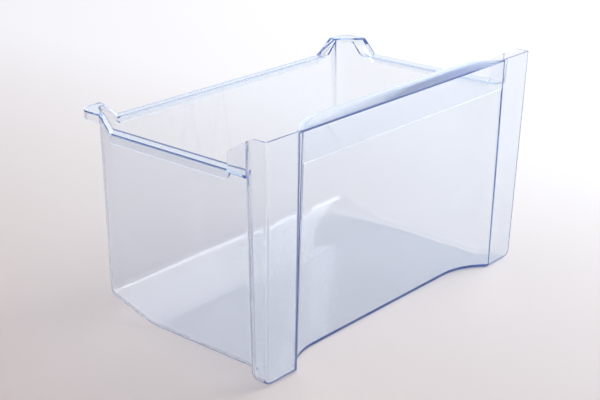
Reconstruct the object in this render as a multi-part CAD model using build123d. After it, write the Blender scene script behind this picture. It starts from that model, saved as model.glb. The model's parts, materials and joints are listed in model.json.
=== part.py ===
from build123d import *
import math
import os

os.makedirs("parts", exist_ok=True)

# Freezer drawer, moulded as one piece from clear plastic.
# Millimetres, +Z up, front towards -Y, origin on the floor plane at the middle of the drawer.

# Overall sizes
FRONT_WIDTH = 440.0
HEIGHT = 248.0
BODY_DEPTH = 253.0
WALL = 2.2
FLOOR = 2.5
DRAFT = 1.2

# Front pillars and the slanted step back to the side wall
PILLAR_WIDTH = 52.0
PILLAR_OVERHANG = 17.0
RETURN_DEPTH = 26.5
STEP_DEPTH = 13.0
PILLAR_ROUND = 16.0
FRONT_ROUND = 4.0
STEP_ROUND = 4.0
REAR_ROUND = 16.0

# Recessed front panel with its swept ends, and the handle lip above it
RECESS_DEPTH = 28.5
RECESS_DRAFT = 0.5
SWEEP_WIDTH = 52.0
SWEEP_RADIUS = 70.0
LIP = 2.4
APRON_DROP = 33.0
LIP_ROUND = 5.0

# Rim flange with a turned-down edge, raised at the rear corners
RIM_DROP = 39.0
EAR_RISE = 17.0
FLANGE = 12.0
FLANGE_BACK = 8.3
FLANGE_THICK = 2.4
FLANGE_EDGE = 10.0
RIM_ROUND = 2.0
FLANGE_FRONT = 54.0
EDGE_FRONT = 2.5
EDGE_ROUND = 8.0
EAR_SIDE = 15.0
EAR_BACK = 17.0
EAR_SLOPE_SIDE = 16.0
EAR_SKEW = 42.0
EAR_SLOPE_BACK = 26.0
EAR_ROUND = 14.0

# Shoulder plates between the rim and the pillars
SHOULDER_START = 18.0
SHOULDER_SLOPE = 30.0
SHOULDER_CORNER = 3.0
SHOULDER_ROUND = 0.9

# Floor, rising towards the back
RAMP_START = 183.0
RAMP_ANGLE = 16.0
RAMP_BLEND = 60.0
FLOOR_ROUND = 10.0

# Clearances used only to carry a cut past a face
PAST = 60.0
BITE = 1.0

half = FRONT_WIDTH / 2
side_x = half - PILLAR_OVERHANG
lean = math.tan(math.radians(DRAFT))
rim_z = HEIGHT - RIM_DROP
ear_z = rim_z + EAR_RISE
step_end = RETURN_DEPTH + STEP_DEPTH
opening = half - PILLAR_WIDTH
flat_half = opening - SWEEP_WIDTH
sweep_rise = SWEEP_RADIUS - math.sqrt(SWEEP_RADIUS**2 - SWEEP_WIDTH**2)
sweep_end = RECESS_DEPTH - sweep_rise
flange_x = side_x + FLANGE - lean * RIM_DROP
flange_y = BODY_DEPTH + FLANGE_BACK - lean * RIM_DROP
top = Plane.XY.offset(HEIGHT)


def prism_x(points, x0, x1):
    """Solid from a closed outline of (y, z) points, between two values of x."""
    face = make_face(Polyline([(x0, y, z) for y, z in points], close=True))
    return extrude(face, amount=x1 - x0, dir=(1, 0, 0))


def prism_y(points, y0, y1):
    """Solid from a closed outline of (x, z) points, between two values of y."""
    face = make_face(Polyline([(x, y0, z) for x, z in points], close=True))
    return extrude(face, amount=y1 - y0, dir=(0, 1, 0))


def prism_z(points, z0, z1):
    """Solid from a closed outline of (x, y) points, between two heights."""
    face = make_face(Polyline([(x, y, z0) for x, y in points], close=True))
    return extrude(face, amount=z1 - z0, dir=(0, 0, 1))


def both_sides(solid):
    return solid + mirror(solid, about=Plane.YZ)


def with_mirror(points):
    """Points of one half, followed by their mirror images in reverse order."""
    return points + [(-x, v) for x, v in reversed(points)]


def at(shape, *corners):
    """The vertices of a flat shape that lie at the given corners and their mirror images."""
    found = []
    for vertex in shape.vertices():
        for x, y in corners:
            if abs(abs(vertex.X) - x) < BITE / 10 and abs(vertex.Y - y) < BITE / 10:
                found.append(vertex)
    return found


# Outline of the drawer at its top, with a straight front
corners = [
    (half, 0),
    (half, RETURN_DEPTH),
    (side_x, step_end),
    (side_x, BODY_DEPTH),
]
outline = make_face(Polyline(with_mirror(corners), close=True))
outline = fillet(at(outline, (half, RETURN_DEPTH)), PILLAR_ROUND)
outline = fillet(at(outline, (side_x, step_end)), STEP_ROUND)
outline = fillet(at(outline, (side_x, BODY_DEPTH)), REAR_ROUND)

# Outline of the recess in the front, swept forward at both ends
sweep_mid = SWEEP_WIDTH / SWEEP_RADIUS / 2
arc_mid_x = flat_half + SWEEP_RADIUS * math.sin(sweep_mid)
arc_mid_y = RECESS_DEPTH - SWEEP_RADIUS * (1 - math.cos(sweep_mid))
recess_line = [
    Line((-flat_half, RECESS_DEPTH), (flat_half, RECESS_DEPTH)),
    ThreePointArc((flat_half, RECESS_DEPTH), (arc_mid_x, arc_mid_y), (opening, sweep_end)),
    Line((opening, sweep_end), (opening, -PAST)),
    Line((opening, -PAST), (-opening, -PAST)),
    Line((-opening, -PAST), (-opening, sweep_end)),
    ThreePointArc((-opening, sweep_end), (-arc_mid_x, arc_mid_y), (-flat_half, RECESS_DEPTH)),
]
recess = make_face(Wire(recess_line))


def ramp(lift):
    """Everything below the floor line, which is level and then rises to the back."""
    slope = math.tan(math.radians(RAMP_ANGLE))
    blend = RAMP_BLEND * math.tan(math.radians(RAMP_ANGLE / 2))
    end = BODY_DEPTH + PAST
    turn = math.radians(RAMP_ANGLE)
    start = (0, RAMP_START - blend, lift)
    finish = (0, RAMP_START + blend * math.cos(turn), lift + blend * math.sin(turn))
    middle = (
        0,
        start[1] + RAMP_BLEND * math.sin(turn / 2),
        lift + RAMP_BLEND * (1 - math.cos(turn / 2)),
    )
    edges = [
        Line((0, -PAST, lift), start),
        ThreePointArc(start, middle, finish),
        Line(finish, (0, end, lift + slope * (end - RAMP_START))),
        Line((0, end, lift + slope * (end - RAMP_START)), (0, end, -PAST)),
        Line((0, end, -PAST), (0, -PAST, -PAST)),
        Line((0, -PAST, -PAST), (0, -PAST, lift)),
    ]
    return extrude(make_face(Wire(edges)), amount=half + PAST, dir=(1, 0, 0), both=True)


def floor_edges(solid):
    """Lower edges round the sides and the back, from one front corner to the other."""
    found = []
    for face in solid.faces():
        if face.normal_at().Z > -math.cos(math.radians(RAMP_ANGLE + DRAFT)):
            continue
        for edge in face.edges():
            across = abs(edge.tangent_at(0.5).X) > math.cos(math.radians(DRAFT))
            if across and edge.center().Y < (RAMP_START + BODY_DEPTH) / 2:
                continue
            found.append(edge)
    return found


def front_edges(solid):
    """Edges of the straight front at its sides and its foot."""
    found = []
    for edge in solid.faces().sort_by(Axis.Y)[0].edges():
        if edge.center().Z < HEIGHT - BITE:
            found.append(edge)
    return found


def tapered(face, taper):
    return extrude(top * face, amount=HEIGHT + PAST, dir=(0, 0, -1), taper=taper)


def upper_edges(solid, z):
    """Edges at a given height along the back of the recess and its swept ends."""
    found = []
    for edge in solid.edges():
        if abs(edge.center().Z - z) < BITE / 10 and edge.center().Y > sweep_end:
            found.append(edge)
    return found


# Walls and floor
shell = tapered(outline, DRAFT) - ramp(0)
shell = fillet(floor_edges(shell), FLOOR_ROUND)
shell = fillet(front_edges(shell), FRONT_ROUND)
room = tapered(offset(outline, -WALL, kind=Kind.INTERSECTION), DRAFT) - ramp(FLOOR)
room = fillet(floor_edges(room), FLOOR_ROUND - WALL)
room = fillet(front_edges(room), FRONT_ROUND - WALL)

# Recess, closed at the top by the handle lip and its apron
lip_z = HEIGHT - LIP
apron_z = HEIGHT - APRON_DROP
front = -2 * PAST
lip = [(front, lip_z), (BODY_DEPTH, lip_z), (BODY_DEPTH, HEIGHT), (front, HEIGHT)]
bay = tapered(recess, -RECESS_DRAFT) - prism_x(lip, -half, half)
bay = fillet(upper_edges(bay, lip_z), LIP_ROUND - WALL)
apron = [(front, apron_z), (WALL + lean * APRON_DROP, apron_z), (WALL, HEIGHT), (front, HEIGHT)]
bay = bay - prism_x(apron, -half, half)
bay_wall = tapered(offset(recess, WALL, kind=Kind.INTERSECTION), -RECESS_DRAFT)
bay_wall = fillet(upper_edges(bay_wall, HEIGHT), LIP_ROUND)
body = shell - (room - bay_wall) - bay

# Top line of the walls: shoulder slope, level rim, raised rear corners
shoulder_z = HEIGHT - (FLANGE_FRONT - SHOULDER_START) * math.tan(math.radians(SHOULDER_SLOPE))
ear_y = BODY_DEPTH - EAR_SIDE
ear_x = side_x - EAR_BACK
far = BODY_DEPTH + PAST
above = HEIGHT + PAST
mid_x = (opening + side_x) / 2
level_end = (FLANGE_FRONT + ear_y) / 2
side_line = [
    (SHOULDER_START, HEIGHT),
    (FLANGE_FRONT, shoulder_z),
    (FLANGE_FRONT, rim_z),
    (level_end, rim_z),
    (level_end, above),
    (SHOULDER_START, above),
]
back_line = [
    (half + PAST, ear_z),
    (ear_x, ear_z),
    (ear_x - EAR_SLOPE_BACK, rim_z),
]
back_line = with_mirror([(half + PAST, above)] + back_line)
ear_line = [
    (FLANGE_FRONT + EDGE_ROUND, rim_z),
    (ear_y - EAR_SLOPE_SIDE, rim_z),
    (ear_y, ear_z),
    (far + PAST, ear_z),
    (far + PAST, above),
    (FLANGE_FRONT + EDGE_ROUND, above),
]
skew = Vector(math.cos(math.radians(EAR_SKEW)), -math.sin(math.radians(EAR_SKEW)), 0)
ear_face = make_face(Polyline([(side_x, y, z) for y, z in ear_line], close=True))
ear_cut = extrude(ear_face, amount=PAST, dir=skew, both=True)
shoulder_cut = prism_x(side_line, mid_x, half + PAST)
side_cut = both_sides(shoulder_cut + ear_cut)
back_cut = prism_y(back_line, BODY_DEPTH - 2 * REAR_ROUND, far)


def under_line(face, drop):
    """A block of the given outline, cut off a given drop below the top line of the walls."""
    block = extrude(Plane.XY.offset(rim_z - 2 * FLANGE_EDGE) * face, amount=EAR_RISE + 2 * FLANGE_EDGE)
    return block - Pos(0, 0, -drop) * side_cut - Pos(0, 0, -drop) * back_cut


def rim_edges(solid):
    """Outer upper edges along the level sides of the rim."""
    found = []
    for edge in solid.edges().filter_by(Axis.Y):
        place = edge.center()
        if abs(abs(place.X) - flange_x) < BITE / 10 and abs(place.Z - rim_z) < BITE / 10:
            found.append(edge)
    return found


# Rim flange with its turned-down edge
flange_corners = [(flange_x, FLANGE_FRONT), (flange_x, flange_y)]
flange_face = make_face(Polyline(with_mirror(flange_corners), close=True))
flange_face = fillet(at(flange_face, (flange_x, flange_y)), EAR_ROUND)
inside = offset(flange_face, -FLANGE_THICK, kind=Kind.INTERSECTION)
inside = inside + Pos(0, FLANGE_FRONT) * Rectangle(2 * half, 2 * EDGE_ROUND)
flange = under_line(flange_face, 0) - under_line(flange_face, FLANGE_EDGE)
flange = flange - under_line(inside, FLANGE_THICK) - room
flange = fillet(rim_edges(flange), RIM_ROUND)

# Rounded front end of the turned-down edge
edge_front = FLANGE_FRONT - EDGE_FRONT
edge_back = FLANGE_FRONT + EDGE_ROUND
edge_line = [
    (edge_front, rim_z),
    (edge_front, rim_z - FLANGE_EDGE),
    (edge_back, rim_z - FLANGE_EDGE),
    (edge_back, rim_z),
]
edge_end = prism_x(edge_line, flange_x - FLANGE_THICK, flange_x)
lower_front = edge_end.edges().filter_by(Axis.X).group_by(Axis.Z)[0].sort_by(Axis.Y)[0]
edge_end = fillet(lower_front, EDGE_ROUND)
edge_end = fillet(rim_edges(edge_end), RIM_ROUND)


def shoulder_corner(solid):
    """Edge where the slope of a shoulder plate turns down to its end."""
    found = []
    for edge in solid.edges():
        place = edge.center()
        if abs(place.Y - FLANGE_FRONT) < BITE / 10 and abs(place.Z - shoulder_z) < BITE / 10:
            found.append(edge)
    return found


def shoulder_edges(solid):
    """Long edges round the free top and end of a shoulder plate."""
    found = []
    for face in solid.faces().sort_by(SortBy.AREA)[-2:]:
        for edge in face.edges():
            if edge.center().Z > rim_z + BITE and edge.center().Y > join.Y + BITE:
                found.append(edge)
    return found


# Shoulders: a shelf level with the rim and an upright plate joining the flange to the pillar
run = math.hypot(PILLAR_OVERHANG, STEP_DEPTH)
turn = math.acos(STEP_DEPTH / run)
round_y = RETURN_DEPTH - PILLAR_ROUND * math.tan(turn / 2)
mid_r = PILLAR_ROUND - WALL / 2
join = Vector(half - PILLAR_ROUND + mid_r * math.cos(math.pi / 4), round_y + mid_r * math.sin(math.pi / 4))
foot = Vector(flange_x - WALL / 2, FLANGE_FRONT + BITE)
across = (foot - join).normalized().rotate(Axis.Z, -90) * (WALL / 2)
mid_inset = WALL / 2 + lean * RIM_DROP
wall_x = side_x - mid_inset
wall_y = step_end - mid_inset * math.tan(turn / 2)
shelf_z = rim_z - FLANGE_THICK
plate = [foot + across, join + across, join - across, foot - across]
shelf = [foot + across, join + across, join, Vector(wall_x, wall_y), Vector(wall_x, foot.Y)]
clear = [join - across, foot - across, Vector(mid_x, foot.Y), Vector(mid_x, join.Y)]
plate = prism_z([(p.X, p.Y) for p in plate], shelf_z, HEIGHT) - shoulder_cut
plate = fillet(shoulder_corner(plate), SHOULDER_CORNER)
plate = fillet(shoulder_edges(plate), SHOULDER_ROUND)
shelf = prism_z([(p.X, p.Y) for p in shelf], shelf_z, rim_z)
clear = prism_z([(p.X, p.Y) for p in clear], rim_z, above)
drawer = body - both_sides(clear) - side_cut - back_cut + both_sides(plate)
drawer = drawer + both_sides(shelf) + flange + both_sides(edge_end)
drawer = Pos(0, -flange_y / 2, 0) * drawer
export_step(drawer, "parts/drawer.step")
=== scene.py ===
import json
import math

import bpy
from mathutils import Matrix, Vector

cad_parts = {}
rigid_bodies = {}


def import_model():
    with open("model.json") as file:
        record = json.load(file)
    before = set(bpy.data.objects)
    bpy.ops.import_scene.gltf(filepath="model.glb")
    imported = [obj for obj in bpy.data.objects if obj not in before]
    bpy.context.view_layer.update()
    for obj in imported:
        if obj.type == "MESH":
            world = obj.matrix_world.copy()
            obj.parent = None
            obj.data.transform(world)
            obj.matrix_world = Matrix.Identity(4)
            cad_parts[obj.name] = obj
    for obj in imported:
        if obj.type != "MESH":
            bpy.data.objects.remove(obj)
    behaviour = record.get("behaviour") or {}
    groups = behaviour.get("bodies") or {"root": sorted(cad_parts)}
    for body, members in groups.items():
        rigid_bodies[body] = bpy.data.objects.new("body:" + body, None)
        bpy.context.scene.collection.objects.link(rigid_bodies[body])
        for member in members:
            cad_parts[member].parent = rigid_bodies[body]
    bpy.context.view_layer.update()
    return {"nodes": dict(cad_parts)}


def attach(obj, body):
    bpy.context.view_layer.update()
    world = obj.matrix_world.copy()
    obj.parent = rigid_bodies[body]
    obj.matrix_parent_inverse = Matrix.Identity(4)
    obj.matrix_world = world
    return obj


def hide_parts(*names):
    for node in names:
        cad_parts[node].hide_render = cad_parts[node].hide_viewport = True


bl_info = {
    "name": "Freezer Drawer",
    "version": (1, 0, 0),
    "blender": (4, 5, 0),
    "location": "View3D > Sidebar > Freezer Drawer",
    "description": "Finishes a moulded freezer drawer in clear plastic and lights it on a pale studio floor",
    "category": "Object",
}

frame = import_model()

MM = 0.001
MERGE_DISTANCE = 0.001 * MM
SENSOR_WIDTH = 36.0
VIEW_END = 50.0
# Light runs far along a clear wall, from face to face, before it leaves at an edge.
WALL_BOUNCES = 64
HAZE_BOUNCES = 16


def linear(hex_colour):
    """The linear red, green and blue of an sRGB hex colour."""
    channels = [int(hex_colour[i:i + 2], 16) / 255 for i in (1, 3, 5)]
    return [c / 12.92 if c <= 0.04045 else ((c + 0.055) / 1.055) ** 2.4 for c in channels]


class DrawerFinish(bpy.types.PropertyGroup):
    """The clear plastic of the moulding."""

    tint: bpy.props.FloatVectorProperty(
        name="Tint",
        description="Colour that white light takes on its way through the tint depth of plastic",
        subtype="COLOR",
        min=0.0,
        max=1.0,
        default=linear("#EDF4FC"),
    )
    tint_depth: bpy.props.FloatProperty(
        name="Tint Depth",
        description="Length of plastic over which white light takes the tint",
        unit="LENGTH",
        default=6 * MM,
    )
    haze: bpy.props.FloatProperty(
        name="Haze",
        description="How much light the plastic scatters on its way, for each metre",
        default=10.0,
    )
    ior: bpy.props.FloatProperty(
        name="IOR",
        description="Index of refraction of polystyrene",
        default=1.59,
    )
    gloss: bpy.props.FloatProperty(
        name="Polished Roughness",
        description="Roughness where the mould was polished",
        subtype="FACTOR",
        default=0.02,
    )
    scuffed: bpy.props.FloatProperty(
        name="Scuffed Roughness",
        description="Roughness where the surface is lightly scuffed",
        subtype="FACTOR",
        default=0.07,
    )
    ripple: bpy.props.FloatProperty(
        name="Ripple Length",
        description="Length of the shallow waves that the melt leaves in a moulded wall",
        unit="LENGTH",
        default=38 * MM,
    )
    ripple_height: bpy.props.FloatProperty(
        name="Ripple Height",
        description="Height of those waves",
        unit="LENGTH",
        default=0.06 * MM,
    )
    scuff: bpy.props.FloatProperty(
        name="Scuff Width",
        description="Width of a lightly scuffed patch",
        unit="LENGTH",
        default=14 * MM,
    )
    smooth_angle: bpy.props.FloatProperty(
        name="Smooth Angle",
        description="Faces that meet at less than this angle are shaded as one surface",
        subtype="ANGLE",
        default=math.radians(32),
    )


class StudioStage(bpy.types.PropertyGroup):
    """The floor, the lights and the camera."""

    # Painted shade: the floor's colour on the left is painted darker and warmer. It stands in for less light
    # falling there.
    floor_painted_shade: bpy.props.FloatVectorProperty(
        name="Floor Left",
        description="Colour of the paper floor on the left",
        subtype="COLOR",
        min=0.0,
        max=1.0,
        default=linear("#DACAC3"),
    )
    # Painted light: the floor's colour on the right is painted lighter. It stands in for the light that
    # falls from the right.
    floor_painted_light: bpy.props.FloatVectorProperty(
        name="Floor Right",
        description="Colour of the paper floor on the right",
        subtype="COLOR",
        min=0.0,
        max=1.0,
        default=linear("#FFFBF8"),
    )
    # Painted light and shade: between these two places the floor's colour runs from the painted shade on the
    # left to the painted light on the right.
    painted_light_start: bpy.props.FloatProperty(
        name="Grade Start",
        description="Where the paper begins to turn lighter, from left to right",
        unit="LENGTH",
        default=-0.5,
    )
    painted_light_end: bpy.props.FloatProperty(
        name="Grade End",
        description="Where the paper is at its lightest",
        unit="LENGTH",
        default=0.55,
    )
    floor_span: bpy.props.FloatProperty(
        name="Floor Span",
        description="Length of the floor's sides",
        unit="LENGTH",
        default=14.0,
    )
    floor_gap: bpy.props.FloatProperty(
        name="Floor Gap",
        description="How far the paper lies below the drawer's floor",
        unit="LENGTH",
        default=0.4 * MM,
    )
    room_colour: bpy.props.FloatVectorProperty(
        name="Room Colour",
        description="Colour of the white studio walls all round",
        subtype="COLOR",
        min=0.0,
        max=1.0,
        default=linear("#F0F5FF"),
    )
    room_light: bpy.props.FloatProperty(
        name="Room Light",
        description="Strength of the light that the studio walls send back",
        default=1.46,
    )
    ceiling_light: bpy.props.FloatProperty(
        name="Ceiling Light",
        description="Strength of the light that the ceiling sends back",
        default=0.35,
    )
    back_power: bpy.props.FloatProperty(
        name="Back Light",
        description="Power of the wide light over the floor behind the drawer, on the right",
        unit="POWER",
        default=111.0,
    )
    back_place: bpy.props.FloatVectorProperty(
        name="Back Light Place",
        description="Where that light hangs",
        subtype="XYZ",
        unit="LENGTH",
        default=(3.4, -0.9, 2.4),
    )
    back_aim: bpy.props.FloatVectorProperty(
        name="Back Light Aim",
        description="The point of the floor that it is turned to",
        subtype="XYZ",
        unit="LENGTH",
        default=(0.7, 0.0, 0.0),
    )
    back_side: bpy.props.FloatProperty(
        name="Back Light Side",
        description="Length of its sides",
        unit="LENGTH",
        default=3.2,
    )
    lens: bpy.props.FloatProperty(
        name="Lens",
        description="Focal length of the camera",
        unit="CAMERA",
        default=79.18,
    )
    azimuth: bpy.props.FloatProperty(
        name="Azimuth",
        description="How far round the drawer the camera stands, from straight in front",
        subtype="ANGLE",
        default=math.radians(-49.59),
    )
    elevation: bpy.props.FloatProperty(
        name="Elevation",
        description="How far the camera looks down",
        subtype="ANGLE",
        default=math.radians(20.81),
    )
    roll: bpy.props.FloatProperty(
        name="Roll",
        description="How far the camera is turned about its own line of sight",
        subtype="ANGLE",
        default=math.radians(0.49),
    )
    eye: bpy.props.FloatVectorProperty(
        name="Eye",
        description="Where the camera stands",
        subtype="XYZ",
        unit="LENGTH",
        default=(-1.0394, -0.8673, 0.6137),
    )


def add_node(tree, kind, settings=None, links=None):
    """Adds a node, sets the inputs that are given as values and links those given as sockets."""
    node = tree.nodes.new(kind)
    for name, value in (settings or {}).items():
        node.inputs[name].default_value = value
    for name, socket in (links or {}).items():
        tree.links.new(socket, node.inputs[name])
    return node


def blank_material(name):
    """A material whose node tree is still empty."""
    material = bpy.data.materials.new(name)
    material.use_nodes = True
    material.node_tree.nodes.clear()
    return material


def clear_polystyrene(finish):
    """Clear polystyrene, injection moulded in a polished tool.

    It gives the eye a faint blue that gathers where light runs far through the wall, so that edges,
    corners and the flange draw themselves in deeper blue. Shallow waves bend what is seen through it,
    and lightly scuffed patches dull its mirror gloss.
    """
    material = blank_material("moulded_clear_polystyrene")
    tree = material.node_tree
    place = add_node(tree, "ShaderNodeTexCoord").outputs["Object"]
    waves = add_node(
        tree,
        "ShaderNodeTexNoise",
        {"Scale": 1 / finish.ripple, "Detail": 1.0, "Roughness": 0.4},
        {"Vector": place},
    )
    relief = add_node(
        tree,
        "ShaderNodeBump",
        {"Strength": 1.0, "Distance": finish.ripple_height},
        {"Height": waves.outputs["Fac"]},
    )
    scuffs = add_node(
        tree,
        "ShaderNodeTexNoise",
        {"Scale": 1 / finish.scuff, "Detail": 4.0, "Roughness": 0.65},
        {"Vector": place},
    )
    dull = add_node(
        tree,
        "ShaderNodeMapRange",
        {"From Min": 0.45, "From Max": 0.75, "To Min": finish.gloss, "To Max": finish.scuffed},
        {"Value": scuffs.outputs["Fac"]},
    )
    skin = add_node(
        tree,
        "ShaderNodeBsdfPrincipled",
        {
            "Base Color": (1.0, 1.0, 1.0, 1.0),
            "IOR": finish.ior,
            "Transmission Weight": 1.0,
        },
        {"Roughness": dull.outputs["Result"], "Normal": relief.outputs["Normal"]},
    )
    loss = [-math.log(c) / finish.tint_depth for c in finish.tint]
    density = max(loss)
    stain = add_node(
        tree,
        "ShaderNodeVolumeAbsorption",
        {"Color": [1 - v / density for v in loss] + [1.0], "Density": density},
    )
    haze = add_node(tree, "ShaderNodeVolumeScatter", {"Density": finish.haze})
    body = add_node(
        tree,
        "ShaderNodeAddShader",
        links={0: stain.outputs["Volume"], 1: haze.outputs["Volume"]},
    )
    add_node(
        tree,
        "ShaderNodeOutputMaterial",
        links={"Surface": skin.outputs["BSDF"], "Volume": body.outputs["Shader"]},
    )
    return material


def paper_floor(stage):
    """Matt background paper, rolled out flat, with light and shade painted into its colour.

    It gives the eye a soft white with no gloss. Its colour is painted darker on the left than on the right:
    painted shade and painted light that stand in for light falling from the right.
    """
    material = blank_material("matt_paper_painted_light_grade")
    tree = material.node_tree
    place = add_node(tree, "ShaderNodeTexCoord").outputs["Object"]
    side = add_node(tree, "ShaderNodeSeparateXYZ", links={"Vector": place}).outputs["X"]
    share = add_node(
        tree,
        "ShaderNodeMapRange",
        {"From Min": stage.painted_light_start, "From Max": stage.painted_light_end},
        {"Value": side},
    )
    # Painted light and shade: this ramp paints the paper darker on the left and lighter on the right.
    painted_light_ramp = add_node(tree, "ShaderNodeValToRGB", links={"Fac": share.outputs["Result"]})
    left, right = painted_light_ramp.color_ramp.elements
    left.color = list(stage.floor_painted_shade) + [1.0]
    right.color = list(stage.floor_painted_light) + [1.0]
    sheet = add_node(
        tree,
        "ShaderNodeBsdfPrincipled",
        {"Roughness": 1.0, "Specular IOR Level": 0.0},
        {"Base Color": painted_light_ramp.outputs["Color"]},
    )
    add_node(tree, "ShaderNodeOutputMaterial", links={"Surface": sheet.outputs["BSDF"]})
    return material


def only(piece):
    """Makes one object the active and only selected one."""
    for other in bpy.context.view_layer.objects:
        other.select_set(False)
    piece.select_set(True)
    bpy.context.view_layer.objects.active = piece


class FREEZERDRAWER_OT_moulding(bpy.types.Operator):
    """Makes the drawer's moulding in clear plastic"""

    bl_idname = "freezer_drawer.moulding"
    bl_label = "Moulding"

    def execute(self, context):
        finish = context.scene.drawer_finish
        node = frame["nodes"]["drawer"]
        piece = bpy.data.objects.new("clear_moulding", node.data.copy())
        context.scene.collection.objects.link(piece)
        piece.data.materials.clear()
        only(piece)
        bpy.ops.object.mode_set(mode="EDIT")
        bpy.ops.mesh.select_all(action="SELECT")
        bpy.ops.mesh.remove_doubles(threshold=MERGE_DISTANCE)
        bpy.ops.mesh.customdata_custom_splitnormals_clear()
        bpy.ops.object.mode_set(mode="OBJECT")
        bpy.ops.object.shade_smooth_by_angle(angle=finish.smooth_angle)
        piece.data.materials.append(clear_polystyrene(finish))
        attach(piece, "root")
        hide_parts("drawer")
        return {"FINISHED"}


class FREEZERDRAWER_OT_studio(bpy.types.Operator):
    """Lays the pale floor, hangs the lights and sets up the camera"""

    bl_idname = "freezer_drawer.studio"
    bl_label = "Studio"

    def execute(self, context):
        stage = context.scene.drawer_stage
        only(frame["nodes"]["drawer"])
        bpy.ops.mesh.primitive_plane_add(size=stage.floor_span, location=(0, 0, -stage.floor_gap))
        floor = context.object
        floor.name = "paper_floor"
        floor.data.materials.append(paper_floor(stage))

        world = bpy.data.worlds.new("white_studio")
        context.scene.world = world
        world.use_nodes = True
        tree = world.node_tree
        tree.nodes.clear()
        way = add_node(tree, "ShaderNodeTexCoord").outputs["Generated"]
        height = add_node(tree, "ShaderNodeSeparateXYZ", links={"Vector": way}).outputs["Z"]
        fade = add_node(
            tree,
            "ShaderNodeMapRange",
            {"To Min": stage.room_light, "To Max": stage.ceiling_light},
            {"Value": height},
        )
        glow = add_node(
            tree,
            "ShaderNodeBackground",
            {"Color": list(stage.room_colour) + [1.0]},
            {"Strength": fade.outputs["Result"]},
        )
        add_node(tree, "ShaderNodeOutputWorld", links={"Surface": glow.outputs["Background"]})

        bpy.ops.object.light_add(type="AREA", location=stage.back_place)
        light = context.object
        light.name = "back_light"
        light.data.size = stage.back_side
        light.data.energy = stage.back_power
        aim = Vector(stage.back_aim) - light.location
        light.rotation_euler = aim.to_track_quat("-Z", "Y").to_euler()

        lens = bpy.data.cameras.new("studio_camera")
        camera = bpy.data.objects.new("studio_camera", lens)
        context.scene.collection.objects.link(camera)
        lens.sensor_width = SENSOR_WIDTH
        lens.lens = stage.lens
        lens.clip_end = VIEW_END
        a, e, r = stage.azimuth, stage.elevation, stage.roll
        across = Vector((math.cos(a), math.sin(a), 0))
        back = Vector((math.sin(a) * math.cos(e), -math.cos(a) * math.cos(e), math.sin(e)))
        up = back.cross(across)
        right = math.cos(r) * across + math.sin(r) * up
        up = math.cos(r) * up - math.sin(r) * across
        turn = Matrix((right, up, back)).transposed().to_4x4()
        camera.matrix_world = Matrix.Translation(stage.eye) @ turn
        context.scene.camera = camera

        context.scene.view_settings.view_transform = "Standard"
        cycles = context.scene.cycles
        cycles.max_bounces = WALL_BOUNCES
        cycles.transmission_bounces = WALL_BOUNCES
        cycles.glossy_bounces = WALL_BOUNCES
        cycles.volume_bounces = HAZE_BOUNCES
        cycles.blur_glossy = 0.0
        return {"FINISHED"}


class VIEW3D_PT_freezer_drawer(bpy.types.Panel):
    """Sizes, colours and steps of the freezer drawer"""

    bl_label = "Freezer Drawer"
    bl_idname = "VIEW3D_PT_freezer_drawer"
    bl_space_type = "VIEW_3D"
    bl_region_type = "UI"
    bl_category = "Freezer Drawer"

    def draw(self, context):
        for group, operator in (
            (context.scene.drawer_finish, FREEZERDRAWER_OT_moulding),
            (context.scene.drawer_stage, FREEZERDRAWER_OT_studio),
        ):
            column = self.layout.column()
            for name in group.__annotations__:
                column.prop(group, name)
            column.operator(operator.bl_idname)


CLASSES = (
    DrawerFinish,
    StudioStage,
    FREEZERDRAWER_OT_moulding,
    FREEZERDRAWER_OT_studio,
    VIEW3D_PT_freezer_drawer,
)


def register():
    for cls in CLASSES:
        bpy.utils.register_class(cls)
    bpy.types.Scene.drawer_finish = bpy.props.PointerProperty(type=DrawerFinish)
    bpy.types.Scene.drawer_stage = bpy.props.PointerProperty(type=StudioStage)


def unregister():
    del bpy.types.Scene.drawer_stage
    del bpy.types.Scene.drawer_finish
    for cls in reversed(CLASSES):
        bpy.utils.unregister_class(cls)


def main():
    register()
    bpy.ops.freezer_drawer.moulding()
    bpy.ops.freezer_drawer.studio()


if __name__ == "__main__":
    main()
